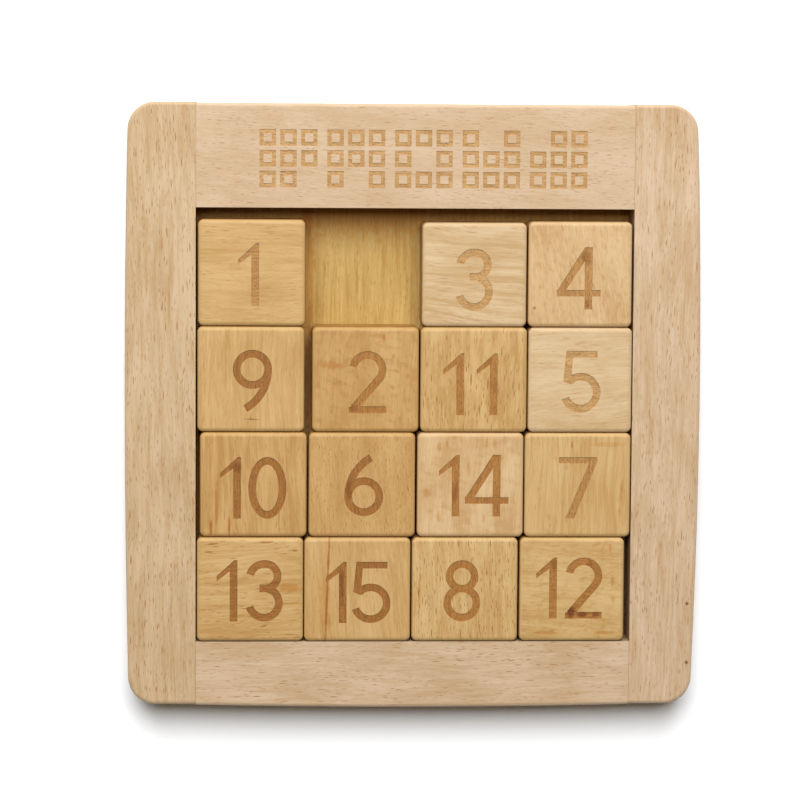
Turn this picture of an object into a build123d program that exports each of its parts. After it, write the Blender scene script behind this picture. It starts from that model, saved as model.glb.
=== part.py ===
from build123d import *
import os

# A wooden number puzzle: a framed tray that holds fifteen loose blocks and one empty cell.
# It lies on its back. X runs across the face, Y up the face and Z out of it. The origin is
# under the middle of the whole tray. All dimensions are in millimetres.

# Tray frame
opening_width = 142.5
opening_height = 141.9
left_stile_width = 23.0
right_stile_width = 22.3
top_rail_height = 33.7
bottom_rail_height = 21.9
left_bow = 1.2
right_bow = 2.0
bottom_bow = 0.8
rail_step = 0.25
frame_thickness = 20.0
outer_corner_radius = 9.0
outer_edge_round = 1.3

# Base panel, glued into a rabbet round the underside of the opening
panel_thickness = 4.0
rabbet_width = 6.0
rabbet_corner_radius = 5.0
panel_clearance = 0.15

# Glue dowels, two at each butt joint
dowel_diameter = 6.0
dowel_length = 30.0
dowel_end_gap = 1.0
dowel_fit = 0.05
dowel_chamfer = 0.6
dowel_height = 11.0
top_dowel_spacing = 16.0
bottom_dowel_spacing = 10.0

# Blocks
block_width = 34.8
block_height = 34.3
block_thickness = 17.0
block_corner_radius = 1.9
block_edge_round = 1.5
row_gap = 0.15

# Engraved digits and ornament
digit_height = 20.2
stroke = 2.5
engraving_depth = 0.25
motif_pitch = 21.9
motif_cell_pitch = 6.7
motif_square = 5.3
motif_line = 1.3
motif_shift = 2.5
motif_rise = 15.9
motif_depth = 0.2

# How the blocks lie: each row from the bottom up, as (number, gap before the block).
rows = [
    [(13, 0.4), (15, 0.25), (8, 0.4), (12, 0.6)],
    [(10, 1.4), (6, 0.6), (14, 0.6), (7, 0.35)],
    [(9, 0.55), (2, 2.45), (11, 0.45), (5, 0.35)],
    [(1, 0.75), (3, 37.8), (4, 0.5)],
]

# Blocks that came off the saw off size, as (width, height) to take off
trim = {1: (0.0, -0.25), 3: (0.7, 0.45), 4: (0.9, 0.0), 5: (0.8, 0.0), 12: (0.4, 0.0)}

# How far each number stands off the middle of its block, as (x, y)
number_offset = {
    1: (-1.0, -0.5), 2: (0.7, -0.8), 3: (0.0, -1.6), 4: (-0.5, -1.2), 5: (0.4, -0.5),
    6: (0.6, -0.1), 7: (0.1, -0.9), 8: (-0.9, -0.4), 9: (0.5, -0.5), 10: (0.0, -1.0),
    11: (-1.1, -1.4), 12: (-0.9, 0.5), 13: (-0.1, -0.4), 14: (1.1, -0.2), 15: (0.3, -0.9),
}

# Space between the two digits of a number
digit_gap = {10: 2.4, 11: 4.1, 12: 2.8, 13: 2.8, 14: 1.8, 15: 1.8}

# Worked-out positions
overall_width = left_stile_width + opening_width + right_stile_width
overall_height = bottom_rail_height + opening_height + top_rail_height + rail_step
opening_left = left_stile_width - overall_width / 2
opening_right = opening_left + opening_width
opening_bottom = bottom_rail_height - overall_height / 2
opening_top = opening_bottom + opening_height
opening_middle = ((opening_left + opening_right) / 2, (opening_bottom + opening_top) / 2)
stile_bottom = -overall_height / 2 + bottom_bow + rail_step
stile_top = overall_height / 2
block_top = panel_thickness + block_thickness
hole_depth = dowel_length / 2 + dowel_end_gap
top_dowels = (opening_top + top_rail_height / 2, top_dowel_spacing)
bottom_dowels = (opening_bottom - bottom_rail_height / 2, bottom_dowel_spacing)

os.makedirs("parts", exist_ok=True)


def write(builder, name):
    """Labels a finished piece and writes it as parts/name.step."""
    builder.part.label = name
    export_step(builder.part, f"parts/{name}.step")


def stile_face(inner_x, end_x, widest_x):
    """A stile's face: straight along the opening, bowed outside, with two round corners."""
    with BuildSketch() as stile:
        with BuildLine():
            Polyline(
                (end_x, stile_top),
                (inner_x, stile_top),
                (inner_x, stile_bottom),
                (end_x, stile_bottom),
            )
            ThreePointArc((end_x, stile_bottom), (widest_x, 0), (end_x, stile_top))
        make_face()
        outer_corners = stile.vertices().group_by(lambda corner: round(abs(corner.X), 3))[-1]
        fillet(outer_corners, outer_corner_radius)
    return stile.sketch


def rabbet_face():
    """The rounded rectangle that the base panel is let into, from below."""
    with BuildSketch() as rabbet:
        with Locations(opening_middle):
            RectangleRounded(
                opening_width + 2 * rabbet_width,
                opening_height + 2 * rabbet_width,
                rabbet_corner_radius,
            )
    return rabbet.sketch


def dowel_circles(seam_x, middle_y, spacing, radius):
    """Two circles on the seam between a rail and a stile."""
    with BuildSketch(Plane.YZ.offset(seam_x)) as circles:
        with Locations((middle_y, dowel_height)):
            with GridLocations(spacing, 0, 2, 1):
                Circle(radius)
    return circles.sketch


def cut_joinery(seams, dowel_rows):
    """Cuts the rabbet and the blind dowel holes into the piece that is open."""
    extrude(rabbet_face(), amount=panel_thickness, mode=Mode.SUBTRACT)
    for seam_x, direction in seams:
        for middle_y, spacing in dowel_rows:
            circles = dowel_circles(seam_x, middle_y, spacing, dowel_diameter / 2)
            extrude(circles, amount=direction * hole_depth, mode=Mode.SUBTRACT)


# Stiles: full-height boards at the sides, with the round outer corners
with BuildPart() as left_stile:
    face = stile_face(opening_left, left_bow - overall_width / 2, -overall_width / 2)
    extrude(face, amount=frame_thickness)
    for side in (-1, 0):
        flat = left_stile.faces().sort_by(Axis.Z)[side]
        fillet(flat.edges().sort_by(Axis.X)[:-1], outer_edge_round)
    cut_joinery([(opening_left, -1)], [top_dowels, bottom_dowels])
write(left_stile, "left_stile")

with BuildPart() as right_stile:
    face = stile_face(opening_right, overall_width / 2 - right_bow, overall_width / 2)
    extrude(face, amount=frame_thickness)
    for side in (-1, 0):
        flat = right_stile.faces().sort_by(Axis.Z)[side]
        fillet(flat.edges().sort_by(Axis.X)[1:], outer_edge_round)
    cut_joinery([(opening_right, 1)], [top_dowels, bottom_dowels])
write(right_stile, "right_stile")

# Each motif is a three-by-three group of small squares with one left out. The one left out
# moves on by one place from motif to motif.
empty_places = [(1, -1), (0, -1), (0, 0), (0, 1), (-1, 1)]

with BuildPart() as top_rail:
    rail_top = overall_height / 2 - rail_step
    with BuildSketch():
        with Locations((opening_left, opening_top)):
            Rectangle(opening_width, rail_top - opening_top, align=(Align.MIN, Align.MIN))
    extrude(amount=frame_thickness)
    fillet(top_rail.edges().filter_by(Axis.X).group_by(Axis.Y)[-1], outer_edge_round)
    cut_joinery([(opening_left, 1), (opening_right, -1)], [top_dowels])
    with BuildSketch(Plane.XY.offset(frame_thickness)):
        for motif, empty_place in enumerate(empty_places):
            motif_x = opening_middle[0] + motif_shift + (motif - 2) * motif_pitch
            for column in (-1, 0, 1):
                for row in (-1, 0, 1):
                    if (column, row) == empty_place:
                        continue
                    place = (
                        motif_x + column * motif_cell_pitch,
                        opening_top + motif_rise + row * motif_cell_pitch,
                    )
                    with Locations(place):
                        Rectangle(motif_square, motif_square)
                        Rectangle(
                            motif_square - 2 * motif_line,
                            motif_square - 2 * motif_line,
                            mode=Mode.SUBTRACT,
                        )
    extrude(amount=-motif_depth, mode=Mode.SUBTRACT)
write(top_rail, "top_rail")

with BuildPart() as bottom_rail:
    with BuildSketch():
        with BuildLine():
            rail_end = bottom_bow - overall_height / 2
            Polyline(
                (opening_left, rail_end),
                (opening_left, opening_bottom),
                (opening_right, opening_bottom),
                (opening_right, rail_end),
            )
            ThreePointArc(
                (opening_right, rail_end),
                (opening_middle[0], -overall_height / 2),
                (opening_left, rail_end),
            )
        make_face()
    extrude(amount=frame_thickness)
    fillet(bottom_rail.edges().filter_by(GeomType.CIRCLE), outer_edge_round)
    cut_joinery([(opening_left, 1), (opening_right, -1)], [bottom_dowels])
write(bottom_rail, "bottom_rail")

with BuildPart() as base_panel:
    with BuildSketch():
        with Locations(opening_middle):
            RectangleRounded(
                opening_width + 2 * (rabbet_width - panel_clearance),
                opening_height + 2 * (rabbet_width - panel_clearance),
                rabbet_corner_radius - panel_clearance,
            )
    extrude(amount=panel_thickness)
write(base_panel, "base_panel")

# Glue dowels: a pair crosses each seam, half in the rail and half in the stile.
dowel_pairs = {
    "dowels_top_left": (opening_left, *top_dowels),
    "dowels_top_right": (opening_right, *top_dowels),
    "dowels_bottom_left": (opening_left, *bottom_dowels),
    "dowels_bottom_right": (opening_right, *bottom_dowels),
}
for pair_name, (seam_x, middle_y, spacing) in dowel_pairs.items():
    with BuildPart() as dowels:
        circles = dowel_circles(seam_x, middle_y, spacing, dowel_diameter / 2 - dowel_fit)
        extrude(circles, amount=dowel_length / 2, both=True)
        chamfer(dowels.edges().filter_by(GeomType.CIRCLE), dowel_chamfer)
    write(dowels, pair_name)

# Digits, each drawn about its own middle. The bowls of 3, 5, 6, 8 and 9 are circles, and
# every digit is as tall as digit_height.
half = digit_height / 2
middle_line = half - stroke / 2

with BuildSketch() as zero:
    Ellipse(6.2, half)
    Ellipse(6.2 - stroke, half - stroke, mode=Mode.SUBTRACT)

with BuildSketch() as one:
    Polygon(
        (2.4, half), (-3.4, 4.8), (-3.4, 3.2), (3.4 - stroke, 6.4), (3.4 - stroke, -half),
        (3.4, -half), (3.4, half), align=None,
    )

with BuildSketch() as two:
    two_radius = 4.8
    with BuildLine():
        bend = CenterArc((0, middle_line - two_radius), two_radius, 168, -208)
        Line(bend @ 1, (-4.5, 1.6 - half))
    trace(line_width=stroke)
    Polygon(
        (-6.05, -half), (6.05, -half), (6.05, 2.2 - half), (-3.9, 2.2 - half),
        (-6.05, 2.0 - half), align=None,
    )
    with Locations((0, -half)):
        Rectangle(20, 4, align=(Align.CENTER, Align.MAX), mode=Mode.SUBTRACT)

with BuildSketch() as three:
    upper_radius = 4.0
    lower_radius = (2 * middle_line - 2 * upper_radius) / 2
    waist = middle_line - 2 * upper_radius
    with BuildLine():
        CenterArc((0, middle_line - 4.7), 4.7, 90, 75)
        Line((0, middle_line), (0.4, middle_line))
        CenterArc((0.4, middle_line - upper_radius), upper_radius, 90, -180)
        Line((0.4, waist), (-1.5, waist))
    trace(line_width=stroke)
    with BuildLine():
        CenterArc((0, waist - lower_radius), lower_radius, 90, -255)
    trace(line_width=stroke)

with BuildSketch() as four:
    Polygon((-7.15, -5.9), (4.45, -5.9), (4.45, half), (1.95, half), (-7.15, -4.2), align=None)
    Polygon((-4.1, -3.8), (1.95, -3.8), (1.95, 5.6), align=None, mode=Mode.SUBTRACT)
    with Locations((3.2, 0)):
        Rectangle(stroke, digit_height)
    with Locations((0, -4.85)):
        Rectangle(14.3, 2.1)

with BuildSketch() as five:
    five_radius = 5.25
    with BuildLine():
        CenterArc((0, -middle_line + five_radius), five_radius, 138, -298)
    trace(line_width=stroke)
    Polygon((-4.7, half), (5.4, half), (5.4, half - 2.2), (-4.7, half - 2.2), align=None)
    Polygon((-4.7, half), (-2.5, half), (-3.1, 1.4), (-3.3, -0.9), (-5.7, 0.1), align=None)

with BuildSketch() as six:
    six_radius = 5.1
    bowl_middle = six_radius - middle_line
    with BuildLine():
        TangentArc((-six_radius, bowl_middle), (2.3, 9.05), tangent=(0, 1))
    trace(line_width=stroke)
    with Locations((0, bowl_middle)):
        Circle(six_radius + stroke / 2)
        Circle(six_radius - stroke / 2, mode=Mode.SUBTRACT)

with BuildSketch() as seven:
    Polygon(
        (-6.3, half), (6.3, half), (6.3, 8.7), (-1.1, -half), (-3.9, -9.9), (3.6, 8.1),
        (-6.3, 8.1), align=None,
    )

with BuildSketch() as eight:
    for radius, ring_middle in ((5.35, half - 5.35), (6.05, 6.05 - half)):
        with Locations((0, ring_middle)):
            Circle(radius)
    for radius, ring_middle in ((5.35, half - 5.35), (6.05, 6.05 - half)):
        with Locations((0, ring_middle)):
            Circle(radius - stroke, mode=Mode.SUBTRACT)

with BuildSketch() as nine:
    add(six.sketch, rotation=180)

digits = {"0": zero, "1": one, "2": two, "3": three, "4": four}
digits.update({"5": five, "6": six, "7": seven, "8": eight, "9": nine})


def draw_number(number, middle_x, middle_y):
    """Sets a number's digits side by side about a point, in the sketch that is open."""
    shapes = [digits[figure].sketch for figure in str(number)]
    widths = [shape.bounding_box().size.X for shape in shapes]
    left = middle_x - (sum(widths) + digit_gap.get(number, 0)) / 2
    for shape, width in zip(shapes, widths):
        with Locations((left - shape.bounding_box().min.X, middle_y)):
            add(shape)
        left += width + digit_gap.get(number, 0)


for row, blocks in enumerate(rows):
    edge_x = opening_left
    row_bottom = opening_bottom + row_gap + row * (block_height + row_gap)
    for number, gap in blocks:
        trim_x, trim_y = trim.get(number, (0.0, 0.0))
        width = block_width - trim_x
        height = block_height - trim_y
        middle_x = edge_x + gap + width / 2
        middle_y = row_bottom + height / 2
        with BuildPart() as tile:
            with BuildSketch(Plane.XY.offset(panel_thickness)):
                with Locations((middle_x, middle_y)):
                    RectangleRounded(width, height, block_corner_radius)
            extrude(amount=block_thickness)
            for side in (-1, 0):
                fillet(tile.faces().sort_by(Axis.Z)[side].edges(), block_edge_round)
            with BuildSketch(Plane.XY.offset(block_top)):
                offset_x, offset_y = number_offset[number]
                draw_number(number, middle_x + offset_x, middle_y + offset_y)
            extrude(amount=-engraving_depth, mode=Mode.SUBTRACT)
        write(tile, f"tile_{number:02d}")
        edge_x += gap + width
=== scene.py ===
import math

import bmesh
import bpy
from mathutils import Matrix, Vector


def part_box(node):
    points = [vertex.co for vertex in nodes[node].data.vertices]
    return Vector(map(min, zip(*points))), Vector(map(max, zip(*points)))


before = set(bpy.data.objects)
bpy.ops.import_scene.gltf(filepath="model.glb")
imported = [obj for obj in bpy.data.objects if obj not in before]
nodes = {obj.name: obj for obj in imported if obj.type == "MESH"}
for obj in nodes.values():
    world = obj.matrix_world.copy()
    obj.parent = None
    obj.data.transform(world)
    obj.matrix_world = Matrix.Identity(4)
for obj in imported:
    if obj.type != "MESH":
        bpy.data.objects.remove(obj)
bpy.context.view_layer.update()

MM = 0.001

# The frame's face and the middle of the opening, from the pieces that edge it
face_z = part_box("left_stile")[1].z
opening_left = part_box("left_stile")[1].x
opening_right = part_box("right_stile")[0].x
opening_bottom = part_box("bottom_rail")[1].y
opening_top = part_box("top_rail")[0].y
opening_middle = Vector(((opening_left + opening_right) / 2, (opening_bottom + opening_top) / 2, face_z))

# How each tone of the wood differs from its middle one, as factors of red, green and blue
PALE_WOOD = (1.11, 1.15, 1.22)
DEEP_WOOD = (0.87, 0.79, 0.64)
# Rounded edges: paler from wear, and lifted further as a painted sheen highlight
WEAR_AND_SHEEN_WOOD = (1.22, 1.26, 1.34)
GLUE_SEAM = (0.45, 0.36, 0.28)
WOOD_FLECK = (0.64, 0.46, 0.29)
# Painted shade on upright sides: darker and more orange, so the gaps between parts look shaded
WOOD_SIDE_SHADE = (0.96, 0.90, 0.82)
BLOCK_SIDE_SHADE = (0.95, 0.79, 0.58)

# The same for the tones of a burn, and for its walls, which are painted paler to offset the shade that falls
# in the engraving
PALE_SCORCH = (1.20, 1.22, 1.26)
DARK_SCORCH = (0.84, 0.79, 0.70)
SPECKLED_SCORCH = (0.66, 0.54, 0.42)
PAINTED_WALL_LIGHT = (1.5, 1.5, 1.5)

# How deep the numbers and the ornament are cut
NUMBER_DEPTH = 0.25 * MM
ORNAMENT_DEPTH = 0.2 * MM

# The light that falls on the face, as a share of what would turn a white surface pure white,
# and what the wood's gloss adds. Colours below are as seen, so both are taken off them.
LIGHT_ON_FACE = 1.60
GLOSS = 0.02


# ---------------------------------------------------------------------------------------
# Camera: about a metre away, nearly square on, a little towards the top and the left
# ---------------------------------------------------------------------------------------

def add_camera():
    distance = 1.0
    lean_left = 0.0440
    lean_up = 0.0876
    roll = -0.0063
    beside_middle = Vector((-4.70 * MM, 8.55 * MM, distance))
    turn = (
        Matrix.Rotation(roll, 3, "Z")
        @ Matrix.Rotation(lean_up, 3, "X")
        @ Matrix.Rotation(lean_left, 3, "Y")
    ).transposed()
    data = bpy.data.cameras.new("camera")
    data.sensor_width = 36.0
    data.lens = 138.0
    camera = bpy.data.objects.new("camera", data)
    place = opening_middle + turn @ beside_middle
    camera.matrix_world = Matrix.Translation(place) @ turn.to_4x4()
    bpy.context.scene.collection.objects.link(camera)
    bpy.context.scene.camera = camera


# ---------------------------------------------------------------------------------------
# A short way to write shader nodes
# ---------------------------------------------------------------------------------------

class Tree:
    """Adds nodes to one node tree. Inputs are sockets to link or values to set."""

    def __init__(self, tree):
        self.tree = tree

    def put(self, socket, value):
        if isinstance(value, bpy.types.NodeSocket):
            self.tree.links.new(value, socket)
        elif socket.type == "RGBA" and len(value) == 3:
            socket.default_value = (*value, 1.0)
        else:
            socket.default_value = value

    def add(self, kind, inputs, **settings):
        node = self.tree.nodes.new("ShaderNode" + kind)
        for name, value in settings.items():
            setattr(node, name, value)
        for key, value in inputs.items():
            self.put(node.inputs[key], value)
        return node

    def math(self, operation, *values, clamp=False):
        inputs = dict(enumerate(values))
        return self.add("Math", inputs, operation=operation, use_clamp=clamp).outputs[0]

    def times(self, *values):
        """The product of all the values."""
        product = values[0]
        for value in values[1:]:
            product = self.math("MULTIPLY", product, value)
        return product

    def plus(self, *values):
        """The sum of all the values."""
        total = values[0]
        for value in values[1:]:
            total = self.math("ADD", total, value)
        return total

    def vector(self, operation, *values):
        inputs = dict(enumerate(values))
        node = self.add("VectorMath", inputs, operation=operation)
        if operation in ("LENGTH", "DOT_PRODUCT", "DISTANCE"):
            return node.outputs["Value"]
        return node.outputs["Vector"]

    def split(self, vector):
        return self.add("SeparateXYZ", {0: vector}).outputs

    def join(self, x, y, z):
        return self.add("CombineXYZ", {0: x, 1: y, 2: z}).outputs[0]

    def step(self, value, low, high, low_out=0.0, high_out=1.0):
        """Rises smoothly from low_out to high_out as value goes from low to high."""
        inputs = {"Value": value, "From Min": low, "From Max": high}
        inputs.update({"To Min": low_out, "To Max": high_out})
        return self.add("MapRange", inputs, interpolation_type="SMOOTHSTEP").outputs[0]

    def noise(self, vector, scale, detail=2.0, output=0):
        """Noise in a space stretched by scale, a triple of cycles per unit."""
        stretched = self.vector("MULTIPLY", vector, scale)
        inputs = {"Vector": stretched, "Scale": 1.0, "Detail": detail, "Roughness": 0.55}
        return self.add("TexNoise", inputs).outputs[output]

    def swing(self, noise, amount):
        """Noise moved to swing evenly about nought."""
        return self.times(self.math("SUBTRACT", noise, 0.5), amount)

    def mix(self, factor, first, second, blend="MIX"):
        inputs = {0: factor, 6: first, 7: second}
        node = self.add("Mix", inputs, data_type="RGBA", blend_type=blend)
        return node.outputs[2]


def new_group(name, inputs, outputs):
    """An empty node group, as its tree, its Tree and its input sockets."""
    group = bpy.data.node_groups.new(name, "ShaderNodeTree")
    for way, sockets in (("INPUT", inputs), ("OUTPUT", outputs)):
        for socket, kind in sockets:
            group.interface.new_socket(name=socket, socket_type="NodeSocket" + kind, in_out=way)
    return group, Tree(group), group.nodes.new("NodeGroupInput").outputs


def srgb(red, green, blue):
    """A colour as seen on a screen, turned into the light it reflects."""
    def linear(channel):
        channel = channel / 255
        if channel <= 0.04045:
            return channel / 12.92
        return ((channel + 0.055) / 1.055) ** 2.4
    return (linear(red), linear(green), linear(blue))


def wood_seen_as(colour):
    """The wood's own colour, from what is seen of it in this light."""
    return tuple((channel - GLOSS) / LIGHT_ON_FACE for channel in srgb(*colour))


def scaled(colour, *factors):
    """The colour times one factor for each channel."""
    return tuple(channel * factor for channel, factor in zip(colour, factors))


# ---------------------------------------------------------------------------------------
# Beech: one group that every wooden piece uses. Its vector is in millimetres along the
# wood's own axes: X along the growth rings, Y along the grain, Z out from the pith.
# ---------------------------------------------------------------------------------------

def beech_group():
    inputs = [
        ("Vector", "Vector"),
        ("Pale", "Color"),
        ("Deep", "Color"),
        ("Fleck Colour", "Color"),
        ("Ring Spacing", "Float"),
        ("Rings", "Float"),
        ("Streaks", "Float"),
        ("Flecks", "Float"),
        ("Fleck Size", "Float"),
        ("Flakes", "Float"),
        ("Mottle", "Float"),
    ]
    outputs = [("Colour", "Color"), ("Height", "Float"), ("Grain", "Float")]
    group, t, given = new_group("beech", inputs, outputs)

    # The grain wanders a little from side to side.
    wander = t.noise(given["Vector"], (0.045, 0.016, 0.045), 2.0, "Color")
    wander = t.vector("SUBTRACT", wander, (0.5, 0.5, 0.5))
    wander = t.vector("MULTIPLY", wander, (7.0, 0.0, 7.0))
    place = t.vector("ADD", given["Vector"], wander)
    across, along, outward = t.split(place)

    # Growth rings round a pith that lies well below the piece
    pith_depth = 75.0
    radius = t.vector("LENGTH", t.join(across, 0.0, t.plus(outward, pith_depth)))
    ring = t.math("DIVIDE", radius, given["Ring Spacing"])
    ring = t.plus(ring, t.noise(place, (0.16, 0.012, 0.16), 1.0))
    position = t.math("FRACT", ring)
    year = t.add("TexWhiteNoise", {"W": t.math("FLOOR", ring)}, noise_dimensions="1D").outputs[0]
    late = t.times(t.step(position, 0.2, 0.9), t.step(position, 0.9, 1.0, 1.0, 0.0))
    late = t.times(late, t.plus(year, 0.35), given["Rings"])

    # Fibres: streaks along the grain, from about a millimetre wide down to a hair
    streak = t.noise(place, (0.8, 0.03, 0.8), 3.0)
    fibre = t.noise(place, (2.4, 0.10, 2.4), 3.0)
    hair = t.noise(place, (8.0, 0.5, 8.0), 2.0)
    mottle = t.noise(place, (0.11, 0.035, 0.11), 2.0)

    # Rays: thin upright sheets that run out from the pith. On a flat-sawn face they are
    # short dark dashes, and on a quarter-sawn one they are wide soft flakes.
    def rays(spacing, least, share):
        size = t.vector("SCALE", spacing)
        t.put(size.node.inputs["Scale"], given["Fleck Size"])
        cells = t.vector("DIVIDE", place, size)
        voronoi = t.add("TexVoronoi", {"Vector": cells, "Scale": 1.0, "Randomness": 1.0}).outputs
        red, green, blue = t.split(voronoi["Color"])
        reach = t.plus(t.times(red, 0.2), least)
        inside = t.step(voronoi["Distance"], t.times(reach, 0.35), reach, 1.0, 0.0)
        kept = t.math("LESS_THAN", green, share)
        return t.times(inside, kept, t.plus(t.times(blue, 0.7), 0.3))

    short = rays((0.65, 4.5, 4.5), 0.17, 0.95)
    long = rays((0.95, 8.5, 7.0), 0.13, 0.6)
    fleck = t.times(t.math("MAXIMUM", short, long), given["Flecks"])
    flake = t.step(t.noise(place, (1.7, 0.40, 0.16), 3.0), 0.45, 0.78)
    flake = t.times(flake, given["Flakes"])

    depth = t.plus(
        0.42,
        late,
        t.times(t.swing(mottle, 1.6), given["Mottle"]),
        t.times(t.swing(streak, 2.4), given["Streaks"]),
        t.swing(fibre, 1.5),
        t.swing(hair, 0.9),
    )
    depth = t.math("ADD", depth, flake, clamp=True)
    colour = t.mix(depth, given["Pale"], given["Deep"])
    colour = t.mix(t.math("MINIMUM", fleck, 1.0), colour, given["Fleck Colour"])

    height = t.plus(t.times(fibre, 0.6), t.times(hair, 0.35), t.times(fleck, -0.4), t.times(late, -0.2))
    grain = t.plus(t.times(streak, 0.3), t.times(fibre, 0.5), t.times(hair, 0.2))

    out = group.nodes.new("NodeGroupOutput").inputs
    t.put(out["Colour"], colour)
    t.put(out["Height"], height)
    t.put(out["Grain"], grain)
    return group


def blot_group():
    """The mask of a soft, ragged ellipse. Vector, Middle and Half Size are in millimetres
    across the face, and Lean turns the ellipse about its middle."""
    inputs = [("Vector", "Vector"), ("Middle", "Vector"), ("Half Size", "Vector"), ("Lean", "Float")]
    group, t, given = new_group("blot", inputs, [("Mask", "Float")])
    away = t.vector("SUBTRACT", given["Vector"], given["Middle"])
    turn = {"Vector": away, "Angle": given["Lean"]}
    away = t.add("VectorRotate", turn, rotation_type="Z_AXIS").outputs[0]
    away = t.vector("DIVIDE", away, given["Half Size"])
    away = t.vector("MULTIPLY", away, (1.0, 1.0, 0.0))
    ragged = t.swing(t.noise(given["Vector"], (0.6, 0.4, 0.6)), 1.0)
    reach = t.plus(t.vector("LENGTH", away), ragged)
    t.put(group.nodes.new("NodeGroupOutput").inputs["Mask"], t.step(reach, 1.0, 0.35))
    return group


beech = beech_group()
blot = blot_group()


def wood_turn(turn, roll, tilt):
    """The rotation from a piece's axes to its wood's, in degrees: turn is how far the
    grain leans from Y, roll is 0 on a flat-sawn face and 90 on a quarter-sawn one, and
    tilt is how far the grain dives into the face."""
    return (
        Matrix.Rotation(math.radians(roll), 3, "Y")
        @ Matrix.Rotation(math.radians(tilt), 3, "X")
        @ Matrix.Rotation(math.radians(-turn), 3, "Z")
    )


def engraved_mask(t, at, z, floor_z):
    """Two masks: the floor and walls of an engraving whose floor is at floor_z, and all
    that is upright."""
    slack = 0.05 * MM
    level_face = 0.98
    upright_face = 0.2
    facing_up = t.split(at["Normal"])[2]
    low_enough = t.math("LESS_THAN", z, floor_z + slack)
    on_floor = t.times(t.math("GREATER_THAN", facing_up, level_face), low_enough)
    on_wall = t.math("LESS_THAN", t.math("ABSOLUTE", facing_up), upright_face)
    above_floor = t.math("GREATER_THAN", z, floor_z - slack)
    return t.times(t.math("MAXIMUM", on_floor, on_wall), above_floor), on_wall


def marked(t, colour, in_mm, marks):
    """The colour with each mark's tone over it."""
    for middle_x, middle_y, half_width, half_height, lean, tone, strength in marks:
        mask = t.add("Group", {}, node_tree=blot)
        t.put(mask.inputs["Vector"], in_mm)
        t.put(mask.inputs["Middle"], (middle_x, middle_y, 0))
        t.put(mask.inputs["Half Size"], (half_width, half_height, 1))
        t.put(mask.inputs["Lean"], math.radians(lean))
        toned = t.mix(1.0, colour, tone, "MULTIPLY")
        colour = t.mix(t.times(mask.outputs["Mask"], strength), colour, toned)
    return colour


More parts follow.
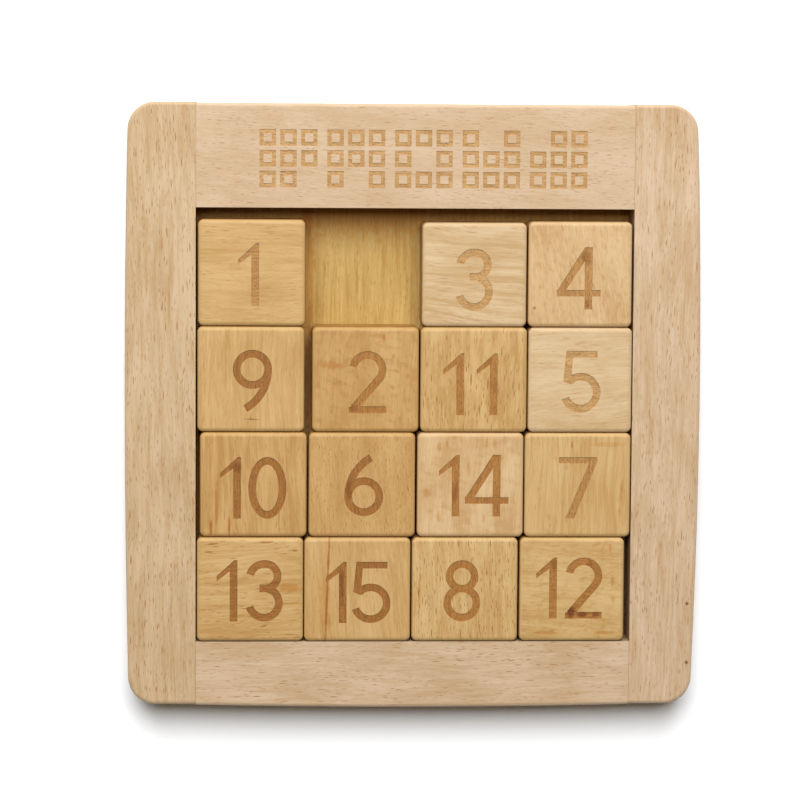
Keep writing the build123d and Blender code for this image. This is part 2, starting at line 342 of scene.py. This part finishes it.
def wooden(node, look, engraved=0.0):
    """Gives one CAD node a beech material, cut from its own place in the log."""
    material = bpy.data.materials.new(f"{node}_beech")
    material.use_nodes = True
    material.node_tree.nodes.clear()
    t = Tree(material.node_tree)
    low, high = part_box(node)
    middle = (low + high) / 2

    at = t.add("TexCoord", {}).outputs
    local = t.vector("SUBTRACT", at["Object"], tuple(middle))
    turned = wood_turn(look.get("turn", 0), look.get("roll", 0), look.get("tilt", 0))
    mapping = {"Vector": local, "Location": look["log"], "Scale": (1 / MM, 1 / MM, 1 / MM)}
    mapping["Rotation"] = turned.to_euler("XYZ")
    place = t.add("Mapping", mapping, vector_type="POINT").outputs[0]

    wood = wood_seen_as(look["wood"])
    contrast = look.get("contrast", 1.0)
    pale = tuple(channel * ratio ** contrast for channel, ratio in zip(wood, PALE_WOOD))
    deep = tuple(channel * ratio ** contrast for channel, ratio in zip(wood, DEEP_WOOD))
    group = t.add("Group", {}, node_tree=beech)
    inputs = {
        "Vector": place,
        "Pale": pale,
        "Deep": deep,
        "Fleck Colour": scaled(wood, *look.get("fleck", WOOD_FLECK)),
        "Ring Spacing": look.get("ring", 3.2),
        "Rings": look.get("rings", 0.3),
        "Streaks": look.get("streaks", 0.6),
        "Flecks": look.get("flecks", 0.55),
        "Fleck Size": look.get("fleck_size", 1.0),
        "Flakes": look.get("flakes", 0.0),
        "Mottle": look.get("mottle", 1.0),
    }
    for key, value in inputs.items():
        t.put(group.inputs[key], value)
    colour = group.outputs["Colour"]
    grain = group.outputs["Grain"]

    # Rounded edges are paler, partly from wear by handling and partly a painted sheen
    # highlight, and a little smoother. Upright sides are darker and more orange: painted shade for the gaps
    # between parts.
    nx, ny, nz = t.split(t.vector("ABSOLUTE", at["Normal"]))
    squarest = t.math("MAXIMUM", t.math("MAXIMUM", nx, ny), nz)
    wear_and_sheen = t.step(squarest, 0.995, 0.80)
    colour = t.mix(t.times(wear_and_sheen, 0.6), colour, scaled(wood, *WEAR_AND_SHEEN_WOOD))
    # Painted shade: upright sides are darkened and warmed by the side tone
    side = t.step(nz, 0.55, 0.15)
    colour = t.mix(side, colour, look.get("sides", WOOD_SIDE_SHADE), "MULTIPLY")

    in_mm = t.vector("MULTIPLY", local, (1 / MM, 1 / MM, 1 / MM))
    colour = marked(t, colour, in_mm, look.get("marks", ()))
    # Painted shade on the top face only, where shade falls under the top rail and in the gaps
    if "painted_shade_marks" in look:
        on_top = t.step(t.split(at["Normal"])[2], 0.5, 0.9)
        colour = t.mix(on_top, colour, marked(t, colour, in_mm, look["painted_shade_marks"]))

    if look.get("glued_ends"):
        end = (high.x - low.x) / 2
        x = t.math("ABSOLUTE", t.split(local)[0])
        seam = t.step(x, end - 0.25 * MM, end - 0.1 * MM)
        colour = t.mix(t.times(seam, 0.55), colour, scaled(wood, *GLUE_SEAM))

    if engraved:
        z = t.split(local)[2]
        mask, wall = engraved_mask(t, at, z, high.z - middle.z - engraved)
        scorch = wood_seen_as(look["burnt"])
        charred = t.step(grain, 0.38, 0.62)
        burnt = t.mix(charred, scaled(scorch, *PALE_SCORCH), scaled(scorch, *DARK_SCORCH))
        speckle = t.step(t.noise(place, (3.2, 0.9, 3.2)), 0.50, 0.66)
        burnt = t.mix(t.times(speckle, 0.8), burnt, scaled(scorch, *SPECKLED_SCORCH))
        burnt = marked(t, burnt, in_mm, look.get("scorched", ()))
        # Painted light: the engraving's walls are lifted paler so their shade does not show as a dark
        # outline
        burnt = t.mix(wall, burnt, t.mix(1.0, burnt, PAINTED_WALL_LIGHT, "MULTIPLY"))
        colour = t.mix(mask, colour, burnt)

    rough = t.step(grain, 0.3, 0.7, 0.46, 0.58)
    rough = t.math("SUBTRACT", rough, t.times(wear_and_sheen, 0.08))
    bump = {"Height": group.outputs["Height"], "Strength": 0.35, "Distance": 0.05 * MM}
    normal = t.add("Bump", bump).outputs[0]
    shader = t.add("BsdfPrincipled", {"Base Color": colour, "Roughness": rough, "Normal": normal})
    shader.inputs["Specular IOR Level"].default_value = look.get("shine", 0.2)
    t.add("OutputMaterial", {"Surface": shader.outputs[0]})
    slots = nodes[node].data.materials
    slots.clear()
    slots.append(material)


# ---------------------------------------------------------------------------------------
# Tones of beech, and of laser burns in it, as seen on a screen
# ---------------------------------------------------------------------------------------

CREAM = (215, 186, 145)
PALE = (215, 181, 135)
STRAW = (210, 175, 121)
HONEY = (207, 170, 115)
TAN = (202, 162, 106)
SAND = (207, 178, 141)
BLOND = (212, 184, 152)
GOLDEN = (202, 167, 102)

FAINT_BURN = (197, 157, 104)
LIGHT_BURN = (184, 139, 86)
BROWN_BURN = (175, 125, 70)
DEEP_BURN = (163, 113, 62)

# Tones that marks and scorches multiply the wood or the burn by
RUST = (0.72, 0.46, 0.22)
BROWN = (0.66, 0.44, 0.25)
AMBER = (0.88, 0.70, 0.46)
DARK = (0.34, 0.18, 0.07)
CHAR = (0.70, 0.58, 0.42)
BLACK_CHAR = (0.42, 0.22, 0.08)
# SHADED is painted shade: a darker, warmer band under the top rail and a strip beside tile 1
SHADED = (1.0, 0.77, 0.50)
# Painted shade for the narrow gaps left of tile 2 and along the opening's left wall
PAINTED_GAP_SHADE = (0.70, 0.48, 0.38)


# ---------------------------------------------------------------------------------------
# Each block's own piece of wood. wood and burnt are the tones of its face and its number.
# A mark is (x, y, half width, half height, lean, tone, strength), in millimetres from the
# block's middle and degrees. It runs through the wood; painted shade is the same on the top only.
# ---------------------------------------------------------------------------------------

tile_looks = {
    1: dict(turn=88, roll=12, tilt=3, log=(11, 40, 3), wood=HONEY, burnt=LIGHT_BURN,
            flecks=0.6, streaks=0.5, rings=0.15),
    2: dict(turn=-4, roll=80, tilt=4, log=(5, 210, 7), wood=TAN, burnt=BROWN_BURN,
            flecks=0.35, flakes=0.8, mottle=1.3, streaks=0.3, rings=0.1,
            marks=[(-10.5, 4.6, 5.0, 1.7, 3, AMBER, 0.9), (-9.0, -1.5, 4.0, 1.2, -4, AMBER, 0.6),
                   (5.9, 13.8, 0.9, 1.4, 0, AMBER, 0.9), (9.0, 7.7, 0.9, 1.1, 0, AMBER, 0.9),
                   (13.6, 1.0, 0.8, 1.2, 0, AMBER, 0.7)],
            scorched=[(-4.3, -9.3, 2.4, 1.6, 0, CHAR, 1.0)]),
    3: dict(turn=86, roll=25, tilt=2, log=(-14, 95, 12), wood=CREAM, burnt=FAINT_BURN,
            ring=1.9, rings=0.5, flecks=0.6, streaks=0.6),
    4: dict(turn=6, roll=55, tilt=3, log=(22, 320, 5), wood=PALE, burnt=LIGHT_BURN,
            flakes=0.6, flecks=0.5, streaks=0.3, rings=0.1,
            marks=[(-14.8, -10.9, 0.7, 0.7, 0, DARK, 0.7)],
            scorched=[(1.9, 5.4, 1.8, 3.5, 0, CHAR, 0.9), (1.9, -9.6, 1.8, 2.2, 0, CHAR, 0.9)]),
    5: dict(turn=95, roll=8, tilt=2, log=(-9, 410, 1), wood=CREAM, burnt=FAINT_BURN,
            flecks=0.5, streaks=0.4, rings=0.1),
    6: dict(turn=5, roll=8, tilt=4, log=(3, 520, 9), wood=TAN, burnt=DEEP_BURN,
            flecks=1.4, fleck_size=0.55, streaks=0.3, rings=0.1,
            scorched=[(-4.2, -1.6, 1.4, 4.0, 0, CHAR, 0.9)]),
    7: dict(turn=0, roll=66, tilt=1, log=(30, 640, 2), wood=STRAW, burnt=LIGHT_BURN,
            ring=1.5, rings=0.3, flecks=0.35, streaks=0.5,
            marks=[(-2.0, 13.3, 0.55, 1.8, 0, RUST, 0.8), (9.8, 13.4, 7.0, 1.1, 0, AMBER, 0.6),
                   (14.8, -3.0, 1.2, 6.0, 0, AMBER, 0.5)]),
    8: dict(turn=3, roll=5, tilt=2, log=(-4, 730, 14), wood=STRAW, burnt=BROWN_BURN,
            flecks=1.9, fleck=(0.58, 0.42, 0.26), fleck_size=0.7, streaks=0.7, rings=0.1,
            contrast=1.2, marks=[(-14.9, -2.0, 0.6, 9.0, 0, AMBER, 0.9)]),
    9: dict(turn=1, roll=30, tilt=2, log=(17, 850, 6), wood=HONEY, burnt=DEEP_BURN,
            flecks=0.4, streaks=0.7, rings=0.2,
            marks=[(0.4, -13.0, 3.6, 0.26, 2, DARK, 0.8), (0.0, -12.4, 0.26, 1.4, 0, BROWN, 0.8)]),
    10: dict(turn=1, roll=20, tilt=3, log=(-25, 930, 8), wood=TAN, burnt=DEEP_BURN,
             flecks=0.7, mottle=1.3, streaks=0.9, rings=0.3,
             marks=[(-11.9, -6.0, 0.7, 11.0, 1, AMBER, 1.0), (-7.8, -13.6, 0.6, 5.0, 0, RUST, 1.0),
                    (-13.8, -14.0, 0.7, 4.5, 0, RUST, 1.0), (8.4, -9.0, 0.45, 9.0, 0, BROWN, 0.5)],
             scorched=[(-5.7, 5.8, 2.6, 2.2, 0, CHAR, 0.9)]),
    11: dict(turn=-3, roll=3, tilt=7, log=(1, 1040, 4), wood=HONEY, burnt=BROWN_BURN,
             flecks=1.5, streaks=1.0, rings=0.3, mottle=1.4),
    12: dict(turn=84, roll=70, tilt=4, log=(8, 1130, 11), wood=STRAW, burnt=BROWN_BURN,
             flakes=0.6, mottle=1.3, flecks=0.4, streaks=0.4, rings=0.2,
             marks=[(12.5, 13.9, 0.6, 1.9, 0, AMBER, 0.9), (13.3, 3.0, 0.7, 2.6, 0, AMBER, 0.9),
                    (13.7, -3.3, 1.3, 1.6, 0, AMBER, 0.8), (-8.2, -14.2, 6.0, 0.8, 0, AMBER, 0.9),
                    (11.5, -14.2, 4.5, 0.8, 0, AMBER, 0.9)],
             scorched=[(-0.4, -7.6, 2.2, 2.4, 0, BLACK_CHAR, 0.9), (3.6, -8.2, 2.2, 1.6, 0, BLACK_CHAR, 0.8),
                       (7.9, -8.2, 1.6, 1.6, 0, BLACK_CHAR, 0.7), (-5.8, 8.0, 1.6, 2.6, 0, CHAR, 0.9),
                       (5.6, 8.0, 2.0, 2.0, 0, CHAR, 0.9)]),
    13: dict(turn=92, roll=10, tilt=4, log=(-18, 1240, 2), wood=HONEY, burnt=DEEP_BURN,
             rings=0.3, flecks=1.1, streaks=0.8,
             marks=[(13.0, 0.5, 5.5, 2.0, 2, AMBER, 1.0), (12.7, -4.6, 4.6, 0.45, 0, AMBER, 1.0),
                    (-12.4, 15.0, 2.8, 0.45, -4, BROWN, 0.9), (5.6, 15.6, 3.0, 0.45, -3, BROWN, 0.9),
                    (14.4, 12.9, 2.2, 0.5, 2, BROWN, 0.9), (-13.6, 12.4, 1.8, 0.4, 0, BROWN, 0.8)]),
    14: dict(turn=-2, roll=86, tilt=3, log=(26, 1330, 7), wood=PALE, burnt=BROWN_BURN,
             flakes=0.5, mottle=1.5, flecks=0.25, streaks=0.3, rings=0.1,
             marks=[(-10.3, 12.7, 0.9, 2.6, 0, AMBER, 0.7), (-7.6, 13.6, 0.8, 2.0, 0, AMBER, 0.7),
                    (5.3, 13.8, 0.7, 2.0, 0, AMBER, 0.6), (8.0, 13.5, 0.8, 2.2, 0, AMBER, 0.7),
                    (-14.0, -2.6, 2.0, 2.2, 0, AMBER, 0.7), (-10.3, -10.4, 0.9, 2.6, 0, AMBER, 0.7),
                    (-0.5, 5.0, 0.8, 3.4, 0, AMBER, 0.6), (4.5, -10.8, 0.6, 2.0, 0, AMBER, 0.7)],
             scorched=[(-5.4, -2.8, 1.6, 5.0, 0, CHAR, 0.7)]),
    15: dict(turn=3, roll=15, tilt=2, log=(-7, 1450, 10), wood=HONEY, burnt=DEEP_BURN,
             flecks=0.6, streaks=0.6, rings=0.2,
             marks=[(-10.6, -4.0, 2.0, 17.0, 2, AMBER, 0.5), (-9.8, 0.0, 0.55, 30.0, 2, RUST, 1.0)],
             scorched=[(-5.5, 1.3, 1.6, 8.0, 0, CHAR, 0.8)]),
}

for number, look in tile_looks.items():
    # Blocks get the stronger painted shade on their upright sides
    wooden(f"tile_{number:02d}", dict(sides=BLOCK_SIDE_SHADE, **look), NUMBER_DEPTH)


# ---------------------------------------------------------------------------------------
# The frame's boards, the base panel and the dowels
# ---------------------------------------------------------------------------------------

frame_looks = {
    "left_stile": dict(turn=1, roll=8, tilt=1, log=(-30, 60, 5), wood=SAND,
                       flecks=1.4, fleck_size=0.8, streaks=0.6, rings=0.15, contrast=1.1),
    "right_stile": dict(turn=-1, roll=14, tilt=1, log=(34, 400, 3), wood=BLOND,
                        flecks=1.2, fleck_size=0.8, streaks=0.6, rings=0.15, contrast=1.05,
                        marks=[(7.8, -64.9, 0.8, 0.8, 0, DARK, 0.9), (7.8, -84.6, 0.7, 0.8, 0, DARK, 0.9)]),
    "top_rail": dict(turn=86, roll=6, tilt=2, log=(12, 700, 9), wood=BLOND, burnt=FAINT_BURN,
                     flecks=0.9, fleck_size=0.65, streaks=0.2, rings=0.05, contrast=0.7, glued_ends=True),
    "bottom_rail": dict(turn=91, roll=10, tilt=2, log=(-20, 1100, 2), wood=BLOND,
                        flecks=1.1, fleck_size=0.75, streaks=0.5, rings=0.15, contrast=0.95,
                        glued_ends=True),
    "base_panel": dict(turn=0, roll=6, tilt=2, log=(4, 1500, 6), wood=GOLDEN,
                       flecks=0.9, fleck=(0.70, 0.48, 0.28), fleck_size=0.6, streaks=1.0, rings=0.1,
                       contrast=1.05, shine=0.12,
                       # Painted shade: a band under the top rail, a strip beside tile 1, the gaps left of
                       # tile 2 and along the left wall
                       painted_shade_marks=[(0, 74, 300, 17, 0, SHADED, 1.0), (-34.9, 51, 3.4, 34, 0, SHADED, 0.9),
                               (-34.5, 13, 2.6, 26, 0, PAINTED_GAP_SHADE, 0.9), (-70.4, -19, 3.5, 60, 0, PAINTED_GAP_SHADE, 1.0)]),
}

for node, look in frame_looks.items():
    wooden(node, look, ORNAMENT_DEPTH if node == "top_rail" else 0.0)

for offset, corner in enumerate(("top_left", "top_right", "bottom_left", "bottom_right")):
    wooden(f"dowels_{corner}", dict(turn=90, log=(5, 1700 + 60 * offset, 4), wood=SAND))


# ---------------------------------------------------------------------------------------
# Floor and light
# ---------------------------------------------------------------------------------------

def add_floor():
    radius = 0.65
    gap_under_part = 0.2 * MM
    mesh = bpy.data.meshes.new("floor")
    disc = bmesh.new()
    bmesh.ops.create_circle(disc, cap_ends=True, segments=128, radius=radius)
    disc.to_mesh(mesh)
    disc.free()
    floor = bpy.data.objects.new("floor", mesh)
    floor.location.z = -gap_under_part
    bpy.context.scene.collection.objects.link(floor)
    material = bpy.data.materials.new("floor_white")
    material.use_nodes = True
    material.node_tree.nodes.clear()
    t = Tree(material.node_tree)
    at = t.add("TexCoord", {}).outputs["Object"]
    cloud = t.noise(at, (3.0, 3.0, 3.0))
    colour = t.mix(t.step(cloud, 0.3, 0.7), (0.90, 0.92, 0.94), (0.91, 0.93, 0.95))
    shader = t.add("BsdfPrincipled", {"Base Color": colour, "Roughness": 0.8})
    t.add("OutputMaterial", {"Surface": shader.outputs[0]})
    mesh.materials.append(material)


def add_backdrop():
    """A pale dome beyond the floor. Only the camera sees it, so it adds no light."""
    radius = 6.0
    glow = 0.82
    mesh = bpy.data.meshes.new("backdrop")
    dome = bmesh.new()
    bmesh.ops.create_icosphere(dome, subdivisions=4, radius=radius)
    dome.to_mesh(mesh)
    dome.free()
    backdrop = bpy.data.objects.new("backdrop", mesh)
    for ray in ("diffuse", "glossy", "transmission", "volume_scatter", "shadow"):
        setattr(backdrop, f"visible_{ray}", False)
    bpy.context.scene.collection.objects.link(backdrop)
    material = bpy.data.materials.new("backdrop_white")
    material.use_nodes = True
    material.node_tree.nodes.clear()
    t = Tree(material.node_tree)
    emission = t.add("Emission", {"Color": (1.0, 1.0, 1.0), "Strength": glow})
    t.add("OutputMaterial", {"Surface": emission.outputs[0]})
    mesh.materials.append(material)


def add_light(name, direction, distance, size, power):
    """A square soft light that looks at the middle of the face."""
    data = bpy.data.lights.new(name, "AREA")
    data.shape = "SQUARE"
    data.size = size
    data.energy = power
    light = bpy.data.objects.new(name, data)
    towards = Vector(direction).normalized()
    light.location = opening_middle + towards * distance
    light.rotation_euler = towards.to_track_quat("Z", "Y").to_euler()
    bpy.context.scene.collection.objects.link(light)


def add_world(strength):
    """A weak warm glow from all round."""
    world = bpy.data.worlds.new("studio")
    bpy.context.scene.world = world
    world.use_nodes = True
    background = world.node_tree.nodes["Background"]
    background.inputs["Color"].default_value = (1.0, 0.80, 0.58, 1.0)
    background.inputs["Strength"].default_value = strength


bpy.context.scene.view_settings.view_transform = "Standard"
add_camera()
add_floor()
add_backdrop()
add_light("key", (-0.05, 0.55, 1.0), 1.4, 1.0, 37.6)
add_light("low", (0.0, 1.0, 0.45), 1.4, 0.7, 4.9)
add_world(0.11)
